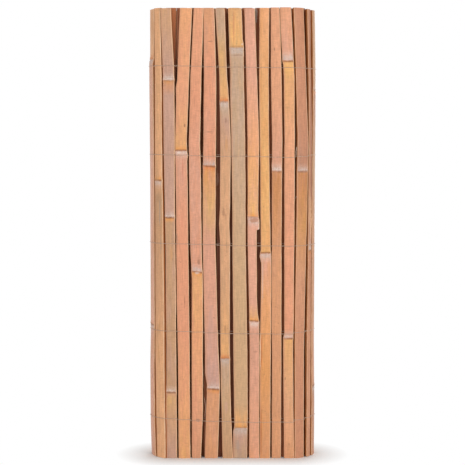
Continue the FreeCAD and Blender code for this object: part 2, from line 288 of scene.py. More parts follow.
def bamboo_skin(name, slat, shift):
    """The waxy outer skin of a split culm, dried and weathered: satin, with soft cloudy stains,
    fine long fibres, a pale powdery bloom and a dark scar line at each ring."""
    material = new_material(name)
    ragged = fibres(material, 3.0, 3.0, shift + 3.0, 3.0)
    height = ragged_height(material, slat, ragged, 0.2)
    stops = tone_stops(slat["tones"], slat["rings"])
    colour = add(material, "ShaderNodeValToRGB", {"Fac": height}, stops)
    # Clouds of a second tone, half a slat wide and as long as a finger.
    cloud = grain(material, (5.0, 30.0), shift, (0.43, 0.7), (0.0, 0.7), 4.0, 0.6)
    layers = [(cloud, hex_colour(slat["streak"]))]
    if slat["rings"]:
        layers.append(ring_bloom(material, slat, ragged, shift))
    for amount, tone in layers:
        mixed = {"Factor": amount, "A": colour, "B": tone}
        colour = add(material, "ShaderNodeMix", mixed, data_type="RGBA")
    # The vascular fibres are 0.2 mm apart, and are drawn 0.45 mm wide so that they show.
    depth = grain(material, (0.45, 24.0), shift + 11.0, (0.25, 0.75), (0.91, 1.09), 3.0)
    broad = grain(material, (1.9, 11.0), shift + 7.0, (0.3, 0.7), (0.88, 1.08), 4.0, 0.6)
    # Faint marks lie across the fibres, where the skin was rubbed in the bundle.
    rubbed = grain(material, (4.5, 0.9), shift + 29.0, (0.3, 0.7), (0.92, 1.05))
    for marking in (broad, rubbed):
        depth = add(material, "ShaderNodeMath", {0: depth, 1: marking}, operation="MULTIPLY")
    colour = add(material, "ShaderNodeHueSaturation", {"Color": colour, "Value": depth})
    # Towards its left edge the skin is darkened as painted shade, and it is flecked all over.
    across = add(material, "ShaderNodeAttribute", attribute_name="across")
    left_edge_painted_shade = add(
        material, "ShaderNodeMapRange",
        {"Value": across.outputs["Fac"], "From Min": -0.66, "From Max": -1.0, "To Max": 0.5},
    )
    fleck = grain(material, (1.0, 2.6), shift + 19.0, (0.69, 0.8), (0.0, 0.45), 1.0)
    layers = [(left_edge_painted_shade, hex_colour(RUSSET)), (fleck, hex_colour(STAIN))]
    layers += [skin_mark(material, slat, ragged, mark) for mark in slat["marks"]]
    for amount, tone in layers:
        mixed = {"Factor": amount, "A": colour, "B": tone}
        colour = add(material, "ShaderNodeMix", mixed, data_type="RGBA")
    relief = add(
        material, "ShaderNodeBump", {"Height": depth, "Strength": 0.3, "Distance": 0.15 * METRES},
    )
    gloss = add(
        material, "ShaderNodeMapRange",
        {"Value": cloud, "From Max": 0.6, "To Min": 0.46, "To Max": 0.6},
    )
    return finish_material(
        material, Base_Color=colour, Normal=relief, Roughness=gloss, Specular_IOR_Level=0.3,
    )


def split_wood(name, size, shift, detail, tones, relief, **shader):
    """Bamboo split along its fibres, with no wax on it: its grain's size, its tones from the
    hollows up, and its relief as a strength and a depth."""
    material = new_material(name)
    strand = fibres(material, *size, shift, detail, 0.6)
    stops = [(share, hex_colour(tone)) for share, tone in tones]
    colour = add(material, "ShaderNodeValToRGB", {"Fac": strand}, stops)
    strength, depth = relief
    bump = add(
        material, "ShaderNodeBump",
        {"Height": strand, "Strength": strength, "Distance": depth * METRES},
    )
    return finish_material(material, Base_Color=colour, Normal=bump, **shader)


def split_bevel():
    """The narrow edge that the splitting knife leaves beside the skin: pale, dry, torn fibres."""
    return split_wood(
        "split_bamboo_bevel", (0.5, 14.0), 1.0, 3.0,
        [(0.3, "#D09A72"), (0.5, "#E8BC94"), (0.7, "#F4D4B2")], (0.5, 0.2),
        Roughness=0.75, Specular_IOR_Level=0.2,
    )


def split_side_painted_shade():
    """The side of a split slat, darkened as painted shade for the deep gaps between slats: coarse brown
    fibres, no wax.
    """
    return split_wood(
        "split_bamboo_side_painted_shade", (0.6, 20.0), 4.0, 3.0,
        [(0.3, "#84431F"), (0.5, "#A66236"), (0.72, "#C08654")], (0.6, 0.3),
        Roughness=0.8, Specular_IOR_Level=0.15,
    )


def inner_wall():
    """The pith side of the culm wall: dull, browner and coarser than the skin."""
    return split_wood(
        "bamboo_inner_wall", (1.1, 30.0), 2.0, 4.0,
        [(0.28, "#8F6140"), (0.5, "#B5855F"), (0.72, "#CDA27A")], (0.6, 0.4),
        Roughness=0.8, Specular_IOR_Level=0.2,
    )


def sawn_end():
    """A sawn end of the culm wall: pale pith dotted with the dark ends of the fibre bundles."""
    material = new_material("sawn_bamboo_end")
    place = add(material, "ShaderNodeTexCoord").outputs["Object"]
    # The fibre bundles are 0.3 mm apart in bamboo, and are drawn at 0.6 mm so that they show.
    bundles = add(material, "ShaderNodeTexVoronoi", {"Vector": place, "Scale": 1 / (0.6 * METRES)})
    from_bundle = bundles.outputs["Distance"]
    colour = add(
        material, "ShaderNodeValToRGB", {"Fac": from_bundle},
        [(0.12, hex_colour("#7C5233")), (0.34, hex_colour("#BE9064")), (0.8, hex_colour("#DDB489"))],
    )
    relief = add(
        material, "ShaderNodeBump",
        {"Height": from_bundle, "Strength": 0.3, "Distance": 0.1 * METRES},
    )
    return finish_material(
        material, Base_Color=colour, Normal=relief, Roughness=0.85, Specular_IOR_Level=0.15,
    )


def galvanised_wire():
    """Thin drawn steel wire whose weathered zinc coat is tinted warm brown as a painted reflection of the
    bamboo around it: dull and half metallic, with faint mottling."""
    material = new_material("galvanised_binding_wire")
    mottle = fibres(material, 1.2, 1.2, 5.0)
    colour = add(
        material, "ShaderNodeValToRGB", {"Fac": mottle},
        [(0.3, hex_colour("#AE8E78")), (0.7, hex_colour("#CFB49E"))],
    )
    dull = add(
        material, "ShaderNodeMapRange",
        {"Value": mottle, "From Min": 0.3, "From Max": 0.7, "To Min": 0.4, "To Max": 0.55},
    )
    return finish_material(material, Base_Color=colour, Roughness=dull, Metallic=0.5)


BEVEL = split_bevel()
PAINTED_SHADE_SIDE = split_side_painted_shade()
INNER = inner_wall()
SAWN = sawn_end()
WIRE = galvanised_wire()


def solids(node):
    """The corner points of each solid in a node, in the node's own order, in millimetres."""
    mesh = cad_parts[node].data
    points = [tuple(round(c / METRES, 3) for c in v.co) for v in mesh.vertices]
    group = {}

    def root(point):
        while group.get(point, point) != point:
            point = group[point]
        return point

    for polygon in mesh.polygons:
        corners = [points[i] for i in polygon.vertices]
        for corner in corners[1:]:
            group[root(corner)] = root(corners[0])
    sets = {}
    for polygon in mesh.polygons:
        for i in polygon.vertices:
            sets.setdefault(root(points[i]), set()).add(points[i])
    return [sorted(corners) for corners in sets.values()]


def slat_frame(corners):
    """A slat's place, facing, edges and ring heights, read from the corners of its solid."""
    foot = [Vector(c[:2]) for c in corners if c[2] < 0.5]
    first = foot[0]
    others = sorted(foot[1:], key=lambda point: (point - first).length)
    right = (others[-2] - first).normalized()
    out = Vector((right.y, -right.x))
    centre = sum(foot, Vector((0, 0))) / len(foot)
    core = Vector((max(-CORE_HALF_WIDTH, min(CORE_HALF_WIDTH, centre.x)), 0))
    if (centre - core).dot(out) < 0:
        right, out = -right, -out
    levels = {}
    for x, y, z in corners:
        offset = Vector((x, y)) - centre
        levels.setdefault(round(z, 1), []).append((offset.dot(right), offset.dot(out)))
    edges = []
    knots = []
    for height, spots in sorted(levels.items()):
        edges.append((height, min(spot[0] for spot in spots), max(spot[0] for spot in spots)))
        if max(spot[1] for spot in spots) > HALF_SLAT + 0.2:
            knots.append(height)
    return {"centre": centre, "right": right, "out": out, "edges": edges, "knots": knots}


def between(table, height, column=1):
    """The value in a table of heights and values at this height, straight between its lines."""
    if height <= table[0][0]:
        return table[0][column]
    for low, high in zip(table, table[1:]):
        if height <= high[0]:
            part = (height - low[0]) / (high[0] - low[0])
            return low[column] + (high[column] - low[column]) * part
    return table[-1][column]


def slat_point(slat, across, outwards, height):
    """A place on or beside a slat, in metres."""
    stand = outwards + between(slat["sink"], height)
    flat = slat["centre"] + slat["right"] * across + slat["out"] * stand
    return Vector((flat.x, flat.y, height)) * METRES


def edge_at(slat, height, side):
    """The slat's left (-1) or right (1) edge at this height."""
    base = between(slat["edges"], height, 1 if side < 0 else 2)
    base += between(slat["left"] if side < 0 else slat["right_edge"], height)
    base += side * between(slat["left_closed"] if side < 0 else slat["right_closed"], height) / 2
    base += slat["waviness"] * noise.noise(Vector((height / LONG_WANDER_LENGTH, slat["seed"], 0.0)))
    own_seed = slat["seed"] + (0.0 if side < 0 else 31.0)
    for amount, length, place in EDGE_WANDERS:
        base += amount * noise.noise(Vector((height / length, own_seed, place)))
    for ring in slat["rings"]:
        base += side * RING_BULGE * math.exp(-((height - ring[0]) / RING_BULGE_REACH) ** 2)
    return base


def skin_height(slat, t, height):
    """How far the skin stands out at this place, with t from -1 at the left edge to 1."""
    rise = HALF_SLAT + CROWN_RISE - CROWN_FALL * t * t
    for amount, length, crossings, place in SKIN_RIPPLES:
        spot = Vector((height / length, t * crossings, slat["seed"] + place))
        rise += amount * noise.noise(spot)
    half_width = (slat["edges"][0][2] - slat["edges"][0][1]) / 2
    for ring in slat["rings"]:
        from_ring = (height - ring[0] - slat["tilt"] * t * half_width) * ring[1]
        for amount, place, reach in RING_FORM:
            rise += amount * math.exp(-((from_ring - place) / reach) ** 2)
    for crack_height, crack_t, length, width, depth in slat["cracks"]:
        along = (height - crack_height) / length
        sideways = (t - crack_t) / width
        rise -= depth * math.exp(-along ** 4 - sideways ** 2)
    return rise


def wall_depth(slat, t, height):
    """How far in the pith side lies at this place."""
    depth = HALF_SLAT - WALL_ALLOWANCE - WALL_HOLLOW * (1 - t * t)
    spot = Vector((height / WALL_RIPPLE_LENGTH, t * 2.0, slat["seed"] + 17.0))
    depth += WALL_RIPPLE * noise.noise(spot)
    return -depth


def stations(slat):
    """The heights at which a slat's section is set, close together at its rings."""
    heights = {FENCE_HEIGHT}
    count = int(FENCE_HEIGHT / slat["step"])
    heights.update(round(number * slat["step"], 2) for number in range(count))
    ring_steps = int(2 * RING_ZONE / RING_STATION_STEP)
    for ring in slat["rings"]:
        foot = ring[0] - RING_ZONE
        heights.update(round(foot + i * RING_STATION_STEP, 2) for i in range(ring_steps))
    for table in (slat["left"], slat["right_edge"], slat["sink"]):
        heights.update(float(line[0]) for line in table)
    for crack in slat["cracks"]:
        heights.update(round(crack[0] + share * crack[2], 2) for share in CRACK_STATIONS)
    return sorted(height for height in heights if 0.0 <= height <= FENCE_HEIGHT)


def section(slat, height):
    """A slat's outline at one height, as places across and out: its skin from left to right, its
    right side, its pith wall from right to left and its left side."""
    left, right = edge_at(slat, height, -1), edge_at(slat, height, 1)
    steps = slat["section_steps"]
    left_bevel, right_bevel = slat["bevels"]
    skin_left, skin_right = left + left_bevel, right - right_bevel
    outline = []
    for i in range(steps + 1):
        t = -1 + 2 * i / steps
        place = (skin_left + skin_right) / 2 + t * (skin_right - skin_left) / 2
        outline.append((place, skin_height(slat, t, height)))
    ripple = SIDE_RIPPLE * noise.noise(Vector((height / SIDE_RIPPLE_LENGTH, slat["seed"], 21.0)))
    below_skin = HALF_SLAT + CROWN_RISE - CROWN_FALL - BEVEL_DROP
    above_wall = SIDE_FOOT - HALF_SLAT
    outline += [(right - BEVEL_LEAN, below_skin), (right + ripple, 0.0), (right - SIDE_LEAN, above_wall)]
    wall_left, wall_right = left + WALL_CORNER, right - WALL_CORNER
    for i in range(steps + 1):
        t = 1 - 2 * i / steps
        place = (wall_left + wall_right) / 2 + t * (wall_right - wall_left) / 2
        outline.append((place, wall_depth(slat, t, height)))
    outline += [(left + SIDE_LEAN, above_wall), (left + ripple, 0.0), (left + BEVEL_LEAN, below_skin)]
    return outline


SKIN_FACE, BEVEL_FACE, SIDE_FACE, WALL_FACE, SAWN_FACE = range(5)
SLAT_CORNER_DEGREES = 38
WIRE_CORNER_DEGREES = 60


def new_piece(name, verts, faces, *materials):
    mesh = bpy.data.meshes.new(name)
    mesh.from_pydata([tuple(point) for point in verts], [], faces)
    for material in materials:
        mesh.materials.append(material)
    piece = bpy.data.objects.new(name, mesh)
    bpy.context.scene.collection.objects.link(piece)
    return piece


def smooth_faces(mesh, corner_degrees):
    """Shade a mesh smooth, apart from its corners."""
    mesh.polygons.foreach_set("use_smooth", [True] * len(mesh.polygons))
    mesh.set_sharp_from_angle(angle=math.radians(corner_degrees))


def dress_slat(name, slat, skin):
    """Make one slat's mesh, from its foot to its top."""
    verts, faces, kinds, across = [], [], [], []
    steps = slat["section_steps"]
    wall = steps + 4
    count = 2 * steps + 8
    heights = stations(slat)
    shares = [-1 + 2 * i / steps for i in range(steps + 1)] + [1.0] * 3
    shares += [-share for share in shares[:steps + 1]] + [-1.0] * 3
    for height in heights:
        level = min(max(height, slat["foot_rise"]), FENCE_HEIGHT - slat["top_drop"])
        for side, out in section(slat, height):
            point = slat_point(slat, side, out, height)
            point.z = level * METRES
            verts.append(point)
        across += shares
    for row in range(len(heights) - 1):
        low = row * count
        high = low + count
        for i in range(count):
            j = (i + 1) % count
            faces.append((low + i, low + j, high + j, high + i))
            if i < steps:
                kinds.append(SKIN_FACE)
            elif i in (steps, count - 1):
                kinds.append(BEVEL_FACE)
            elif wall <= i < wall + steps:
                kinds.append(WALL_FACE)
            else:
                kinds.append(SIDE_FACE)
    strips = [(i, i + 1, wall + steps - i - 1, wall + steps - i) for i in range(steps)]
    strips.append((steps, steps + 1, steps + 2, steps + 3, wall))
    strips.append((wall + steps, wall + steps + 1, wall + steps + 2, wall + steps + 3, 0))
    top = (len(heights) - 1) * count
    for strip in strips:
        faces.append(tuple(reversed(strip)))
        faces.append(tuple(top + i for i in strip))
        kinds += [SAWN_FACE, SAWN_FACE]
    piece = new_piece(name, verts, faces, skin, BEVEL, PAINTED_SHADE_SIDE, INNER, SAWN)
    piece.data.polygons.foreach_set("material_index", kinds)
    piece.data.attributes.new("across", "FLOAT", "POINT").data.foreach_set("value", across)
    smooth_faces(piece.data, SLAT_CORNER_DEGREES)
    return piece


# A table of heights for a slat that keeps its place.
STRAIGHT = [(0.0, 0.0), (FENCE_HEIGHT, 0.0)]

# The fifteen slats of the front, from the left bend to the right one. Heights are from the foot
# up, and each list has only the heights where its line bends.
# tones: the skin's tones by height, with streak as the tone of its clouds.
# rings: from the lowest, the side of the scar on which the bloom lies (1 above, -1 below), the
# bloom's colour and length, and the lip's colour.
# left, right: how far an edge is moved to the right. closed: how much narrower the gap at the
# slat's right is. sink: how far the slat is moved out.
# cracks: height, place across from -1 to 1, half length, width and depth.
# marks: height, place across, half length, half width, tone and strength.
# top_drop: how much lower than the fence the slat is sawn. twist: how far it's turned, in degrees
# anticlockwise from above. bevels: the widths of its left and right ones. tilt: its rings' slope.
FRONT = {
    "slat_16": {
        "tones": [(0, ROSE), (60, BLUSH), (130, BLUSH), (158, SHELL), (430, SHELL), (452, CREAM),
                  (500, CREAM)],
        "rings": [(-1, FROST, 4.0, SALMON), (-1, ASH, 5.0, RED_LIP)],
        "streak": SAND, "top_drop": 0.6, "twist": 8.0, "bevels": (0.4, 0.85),
        "right": [(0, 2.0), (126, 0.8), (500, 1.0)],
        "left": [(0, 0.5), (500, 1.0)],
        "sink": [(0, -1.2), (14, -0.6), (40, 0.1), (100, 0.2), (140, -0.5), (300, -0.6), (440, -0.1),
                 (446, -1.3), (500, -1.4)],
        "marks": [(90, 0.3, 4, 1.2, STAIN, 0.5)],
        "closed": [(0, 1.0), (500, 1.0)],
    },
    "slat_15": {
        "tones": [(0, CREAM), (120, CREAM), (200, SAND), (262, BISCUIT), (292, FAWN), (315, CREAM),
                  (500, CREAM)],
        "rings": [(-1, FROST, 5.0, BRIGHT_LIP)],
        "streak": BISCUIT, "top_drop": 0.3, "twist": -2.0, "bevels": (0.3, 1.05), "tilt": -0.05,
        "left": [(0, 2.0), (50, 0.8), (125, 0.4), (240, 1.3), (425, 2.0), (500, 1.2)],
        "right": [(0, 1.8), (240, 1.8), (345, 1.2), (425, 1.2), (500, 0.3)],
        "marks": [(275, 0.3, 16, 1.4, GREY_STAIN, 0.45), (240, 0.45, 12, 1.0, GREY_STAIN, 0.35),
                  (150, 0.1, 7, 1.0, OCHRE, 0.5), (118, -0.2, 9, 1.2, OCHRE, 0.4)],
        "closed": [(0, 1.7), (100, 0.8), (170, 1.3), (340, 0.8), (400, 1.6), (500, 1.8)],
    },
    "slat_14": {
        "tones": [(0, TAUPE), (50, BISCUIT), (66, WHEAT), (82, FAWN), (200, FAWN), (262, FAWN),
                  (280, TAUPE), (404, TAUPE), (412, CLAY), (430, TAUPE), (500, BISCUIT)],
        "rings": [(1, PEARL, 3.5, SAND), (1, PEARL, 3.0, BRIGHT_LIP), (1, PEARL, 3.5, AMBER)],
        "streak": TAUPE, "top_drop": 0.9, "bevels": (0.3, 0.85),
        "left": [(0, -0.4), (50, -0.2), (125, 0.8), (240, 1.0), (345, -0.2), (425, 0.7), (500, -0.8)],
        "right": [(0, 0.1), (240, -0.2), (425, 0.8), (440, 0.5), (475, -0.8), (500, -1.1)],
        "marks": [(230, 0.2, 10, 1.5, OCHRE, 0.4)],
        "closed": [(0, 0.5), (130, 0.3), (180, 1.1), (300, -0.4), (420, 0.3), (500, 0.0)],
    },
    "slat_13": {
        "tones": [(0, HONEY), (60, APRICOT), (150, SALMON), (250, SALMON), (325, ROSE), (352, HONEY),
                  (400, PEACH), (500, APRICOT)],
        "rings": [(-1, PEARL, 4.5, BRIGHT_LIP)],
        "streak": SALMON, "top_drop": 0.8, "twist": 1.5, "bevels": (0.3, 0.75),
        "left": [(0, -0.7), (125, -0.4), (345, -0.8), (400, -1.2), (412, -2.0), (420, -0.7), (500, -0.8)],
        "right": [(0, -0.5), (125, 0.1), (332, -0.4), (338, 0.5), (343, -0.4), (500, -0.3)],
        "cracks": [(323.0, 0.2, 12.0, 0.07, 0.7), (174.0, 0.3, 5.0, 0.08, 0.5)],
        "marks": [(371, 0.55, 2.5, 1.0, STAIN, 0.6), (322, 0.2, 13, 0.5, RED_STAIN, 0.5),
                  (176, 0.3, 7, 0.6, STAIN, 0.5), (265, 0.0, 9, 0.8, RED_STAIN, 0.4),
                  (250, 0.1, 30, 3.0, SALMON, 0.4)],
        "closed": [(0, 0.7), (240, 0.7), (305, 1.4), (360, 0.5), (425, 0.1), (500, 0.7)],
    },
    "slat_12": {
        "tones": [(0, CLAY), (60, PEACH), (130, APRICOT), (198, HONEY), (222, ROSE), (330, ROSE),
                  (400, SALMON), (500, PEACH)],
        "rings": [(1, FROST, 5.0, BRIGHT_LIP)],
        "streak": SALMON, "top_drop": 0.7, "twist": -1.0, "bevels": (0.3, 0.85), "tilt": -0.12,
        "left": [(0, -0.7), (125, 0.5), (175, 1.2), (200, 1.8), (225, 0.5), (242, 0.0), (345, -0.1),
                 (425, -1.0), (500, 0.2)],
        "right": [(0, -1.6), (50, 0.9), (200, 1.6), (225, 0.4), (345, -0.2), (425, -0.4), (500, 0.0)],
        "marks": [(220, 0.4, 3, 1.6, STAIN, 0.45), (80, -0.3, 20, 1.0, RED_STAIN, 0.3),
                  (208, 0.0, 1.4, 2.5, PEARL, 0.6)],
        "closed": [(0, 0.2), (115, 0.2), (190, 0.9), (325, 1.2), (350, 0.2), (500, 0.5)],
    },
    "slat_11": {
        "tones": [(0, TAN), (60, TAN), (72, TAN), (92, MAUVE), (160, ROSE), (240, ROSE), (280, WHEAT),
                  (316, AMBER), (345, SALMON), (440, SALMON), (500, TAN)],
        "rings": [(1, PEARL, 4.0, LIP), (1, ASH, 6.0, RED_LIP)],
        "streak": ROSE, "top_drop": 0.8, "twist": 0.8, "bevels": (0.3, 0.85), "tilt": -0.08,
        "left": [(0, -0.5), (51, 0.9), (70, 2.0), (83, 2.3), (96, 0.2), (126, 0.3), (240, -1.2),
                 (425, 0.4), (500, -0.2)],
        "right": [(0, -0.5), (83, 2.2), (126, 0.6), (240, -1.5), (345, -0.4), (425, 1.2), (500, -0.4)],
        "marks": [(463, 0.1, 0.9, 3.0, STAIN, 0.35), (364, 0.0, 0.9, 3.0, STAIN, 0.3),
                  (150, 0.0, 30, 3.0, MAUVE, 0.4)],
        "closed": [(0, -0.2), (90, 0.4), (170, -0.3), (440, -0.3), (480, 0.9), (500, 1.0)],
    },
    "slat_10": {
        "tones": [(0, FAWN), (60, STRAW), (100, KHAKI), (122, HONEY), (200, SAND), (330, SAND),
                  (375, TAUPE), (386, KHAKI), (404, HONEY), (450, WHEAT), (480, KHAKI), (500, KHAKI)],
        "rings": [(-1, ASH, 5.0, RED_LIP), (-1, FROST, 6.0, RED_LIP)],
        "streak": FAWN, "top_drop": 1.0, "twist": -1.5, "bevels": (0.25, 0.85),
        "left": [(0, 0.3), (125, -1.2), (242, -1.0), (262, -1.9), (282, -0.7), (345, 0.0), (425, 1.3),
                 (500, -0.2)],
        "right": [(0, 1.2), (50, -0.5), (125, -1.6), (242, -0.7), (262, -1.4), (282, -0.5), (345, -0.1),
                  (425, -0.7), (500, -0.4)],
        "marks": [(275, -0.2, 5, 1.6, STAIN, 0.4), (270, 0.3, 4, 0.5, STAIN, 0.5),
                  (377, 0.2, 3, 1.0, STAIN, 0.35), (350, 0.2, 8, 1.6, OCHRE, 0.4),
                  (145, 0.0, 6, 1.2, STAIN, 0.35), (58, 0.0, 8, 2.0, MAUVE, 0.4)],
        "closed": [(0, 0.4), (60, -0.2), (270, -0.2), (375, 1.7), (405, 1.7), (425, 0.1)],
    },
    "slat_09": {
        "tones": [(0, DRAB), (24, TAUPE), (43, HONEY), (62, STRAW), (200, STRAW), (350, KHAKI),
                  (445, KHAKI), (463, GOLD), (500, HONEY)],
        "rings": [(-1, ASH, 7.0, BRIGHT_LIP), (-1, ASH, 7.0, GOLD)],
        "streak": STRAW, "top_drop": 0.9, "bevels": (0.3, 0.75), "twist": 0.5,
        "left": [(0, -0.9), (30, -0.9), (35, 0.6), (125, 0.0), (240, -0.1), (425, 0.4), (500, -0.2)],
        "right": [(0, -0.3), (33, 0.5), (50, 1.0), (125, 0.9), (240, -0.1), (425, 0.3), (460, 1.0),
                  (466, 0.0), (500, -0.3)],
        "marks": [(478, -0.25, 22, 0.5, RED_STAIN, 0.55), (448, 0.0, 0.8, 6.0, STAIN, 0.4),
                  (460, 0.8, 1.2, 0.9, PEARL, 0.8), (15, -0.3, 6, 2.0, GREY_STAIN, 0.4)],
        "closed": [(0, 0.2), (370, 0.3), (410, 0.0)],
    },
    "slat_08": {
        "tones": [(0, PEACH), (100, ROSE), (143, ROSE), (160, HONEY), (174, BLUSH), (254, BLUSH),
                  (277, GOLD), (350, APRICOT), (430, BLUSH), (470, BLUSH), (500, ROSE)],
        "rings": [(-1, PEARL, 5.0, BRIGHT_LIP), (-1, FROST, 8.0, BRIGHT_LIP)],
        "streak": BLUSH, "top_drop": 1.1, "twist": -0.8, "bevels": (0.25, 0.70), "tilt": -0.05,
        "left": [(0, -0.4), (125, 1.0), (160, 0.7), (240, -0.6), (425, 0.3), (500, -0.2)],
        "right": [(0, 0.6), (50, 0.1), (125, 0.6), (153, 0.3), (163, -1.2), (178, -2.1), (255.3, -2.4),
                  (256.5, 0.6), (267, 0.6), (270, -0.3), (278, -0.8), (345, 0.3), (500, -0.4)],
        "marks": [(266.5, 0.1, 2.6, 5.5, CHESTNUT, 0.85), (257.5, 0.85, 1.6, 1.0, PEARL, 0.9),
                  (120, 0.1, 1.0, 3.0, STAIN, 0.3)],
        "closed": [(0, 0.1), (95, 0.5), (125, 0.0)],
    },
    "slat_07": {
        "tones": [(0, TAN), (100, AMBER), (180, APRICOT), (218, BLUSH), (236, HONEY), (300, GOLD),
                  (400, HONEY), (500, APRICOT)],
        "rings": [(-1, FROST, 6.0, GOLD)],
        "streak": AMBER, "top_drop": 0.6, "twist": 1.2, "bevels": (0.35, 0.75),
        "left": [(0, -0.8), (125, -0.6), (205, 0.9), (219, 0.9), (226, -0.7), (234, 0.5), (345, -0.2),
                 (425, -0.9), (500, -0.1)],
        "right": [(0, 0.2), (226, 1.4), (234, 0.6), (345, -0.4), (425, -0.9), (500, -0.3)],
        "cracks": [(121.0, -0.72, 20.0, 0.06, 1.3), (30.0, -0.8, 28.0, 0.06, 1.3),
                   (205.0, -0.35, 16.0, 0.05, 0.4)],
        "marks": [(200, -0.7, 26, 0.9, PEARL, 0.35), (120, -0.9, 20, 0.7, PEARL, 0.5)],
        "closed": [(0, 0.3), (100, 0.2), (150, 1.2), (200, 1.3), (320, 0.2)],
    },
    "slat_06": {
        "tones": [(0, TAN), (120, TAN), (220, TAN), (311, SPICE), (335, ROSE), (400, PEACH),
                  (450, PEACH), (500, PEACH)],
        "rings": [(1, PEARL, 5.0, SPICE)],
        "streak": CLAY, "top_drop": 0.2, "bevels": (0.3, 0.70), "twist": -0.5,
        "left": [(0, -0.2), (240, 0.0), (322, -0.3), (327, -0.9), (334, -0.2), (425, -0.7), (500, -0.4)],
        "right": [(0, 0.1), (240, -0.6), (345, -0.5), (425, 0.5), (500, -0.6)],
        "marks": [(454, -0.3, 2.0, 0.8, STAIN, 0.6)],
        "closed": [(0, -0.3), (150, 0.2), (430, 0.0), (475, 0.8), (500, 0.0)],
    },
    "slat_05": {
        "tones": [(0, TAN), (60, SAND), (128, HONEY), (150, SALMON), (250, SALMON), (350, PEACH),
                  (420, HONEY), (431, GOLD), (453, BLUSH), (500, PEACH)],
        "rings": [(1, FROST, 5.0, GOLD), (1, FROST, 7.0, GOLD)],
        "streak": PEACH, "top_drop": 0.0, "twist": 1.0, "bevels": (0.3, 0.80),
        "left": [(0, 0.1), (125, -1.0), (136, -0.8), (140, 0.2), (345, -0.5), (425, 0.9), (437, 0.9),
                 (442, 0.0), (500, -0.8)],
        "right": [(0, 0.8), (50, -0.4), (125, -1.1), (240, -0.4), (345, -0.6), (425, 0.9), (500, -0.9)],
        "marks": [(90, -0.6, 2.0, 0.7, STAIN, 0.5), (16, 0.0, 2.0, 1.0, STAIN, 0.3),
                  (55, 0.3, 9, 0.6, OCHRE, 0.5)],
        "closed": [(0, 0.3), (130, 0.1), (170, 0.9), (215, 0.0), (320, 0.2), (350, -0.2), (500, 0.2)],
    },
    "slat_04": {
        "tones": [(0, RUSSET), (100, RUSSET), (200, CLAY), (260, OCHRE), (307, SPICE), (335, CHESTNUT),
                  (400, RUSSET), (500, RUSSET)],
        "rings": [(1, FROST, 5.0, SPICE)],
        "streak": RUSSET, "top_drop": 0.4, "twist": -1.2,
        "sink": [(0, -0.17), (500, -0.17)],
        "bevels": (0.35, 0.95),
        "left": [(0, -1.2), (125, -2.4), (345, -1.2), (425, -1.2), (500, -2.0)],
        "right": [(0, -0.7), (125, -2.0), (345, 0.5), (500, -1.2)],
        "closed": [(0, 0.3), (230, 0.1), (265, 0.7), (320, 0.6), (400, -0.1)],
    },
    "slat_03": {
        "tones": [(0, CLAY), (120, CLAY), (228, RUSSET), (250, LILAC), (300, CHESTNUT), (500, CHESTNUT)],
        "rings": [(1, FROST, 4.0, SPICE)],
        "streak": CHESTNUT, "top_drop": 1.4, "bevels": (0.3, 0.85), "twist": -2.0,
        "left": [(0, -1.0), (125, -1.5), (240, -0.4), (400, 0.4), (500, -1.5)],
        "closed": [(0, 0.0), (400, 0.0), (450, -1.3)],
    },
    "slat_02": {
        "tones": [(0, RUSSET), (70, CHESTNUT), (95, CLAY), (200, CLAY), (320, FAWN), (402, CHESTNUT),
                  (420, FAWN), (500, FAWN)],
        "rings": [(-1, ASH, 4.0, CHESTNUT), (1, FROST, 4.0, CLAY)],
        "streak": FAWN, "top_drop": 1.5, "bevels": (0.4, 0.75), "twist": -6.0,
        "sink": [(0, 0.0), (60, 0.2), (130, -0.6), (240, -0.5), (330, -0.2), (400, 0.2), (440, 0.1),
                 (500, -0.9)],
        "marks": [(79, -0.4, 1.0, 4.0, STAIN, 0.6)],
    },
}

# What a slat of the front has where it says nothing of its own.
UNMARKED = {
    "left": STRAIGHT, "right": STRAIGHT, "closed": STRAIGHT, "sink": STRAIGHT,
    "cracks": [], "marks": [], "tilt": 0.0, "twist": 0.0,
}

# The runs of tones, from foot to top, that slats of one clump of bamboo come in, and the streak.
ORDINARY = [
    ((PEACH, ROSE, PEACH), SALMON), ((HONEY, WHEAT, STRAW), BISCUIT), ((KHAKI, TAUPE, STRAW), FAWN),
    ((WHEAT, AMBER, HONEY), OCHRE), ((BLUSH, SALMON, APRICOT), ROSE), ((STRAW, KHAKI, DRAB), TAUPE),
    ((RUSSET, CLAY, CHESTNUT), CLAY), ((APRICOT, PEACH, GOLD), SALMON), ((ROSE, LILAC, SAND), MAUVE),
]
# The hidden turns lie in the shade inside the roll, and their tones are darkened as painted shade.
PAINTED_SHADE_RUNS = [
    ((COCOA, CINNAMON, COCOA), UMBER), ((CINNAMON, COCOA, CINNAMON), COCOA),
    ((CINNAMON, CINNAMON, COCOA), UMBER),
]
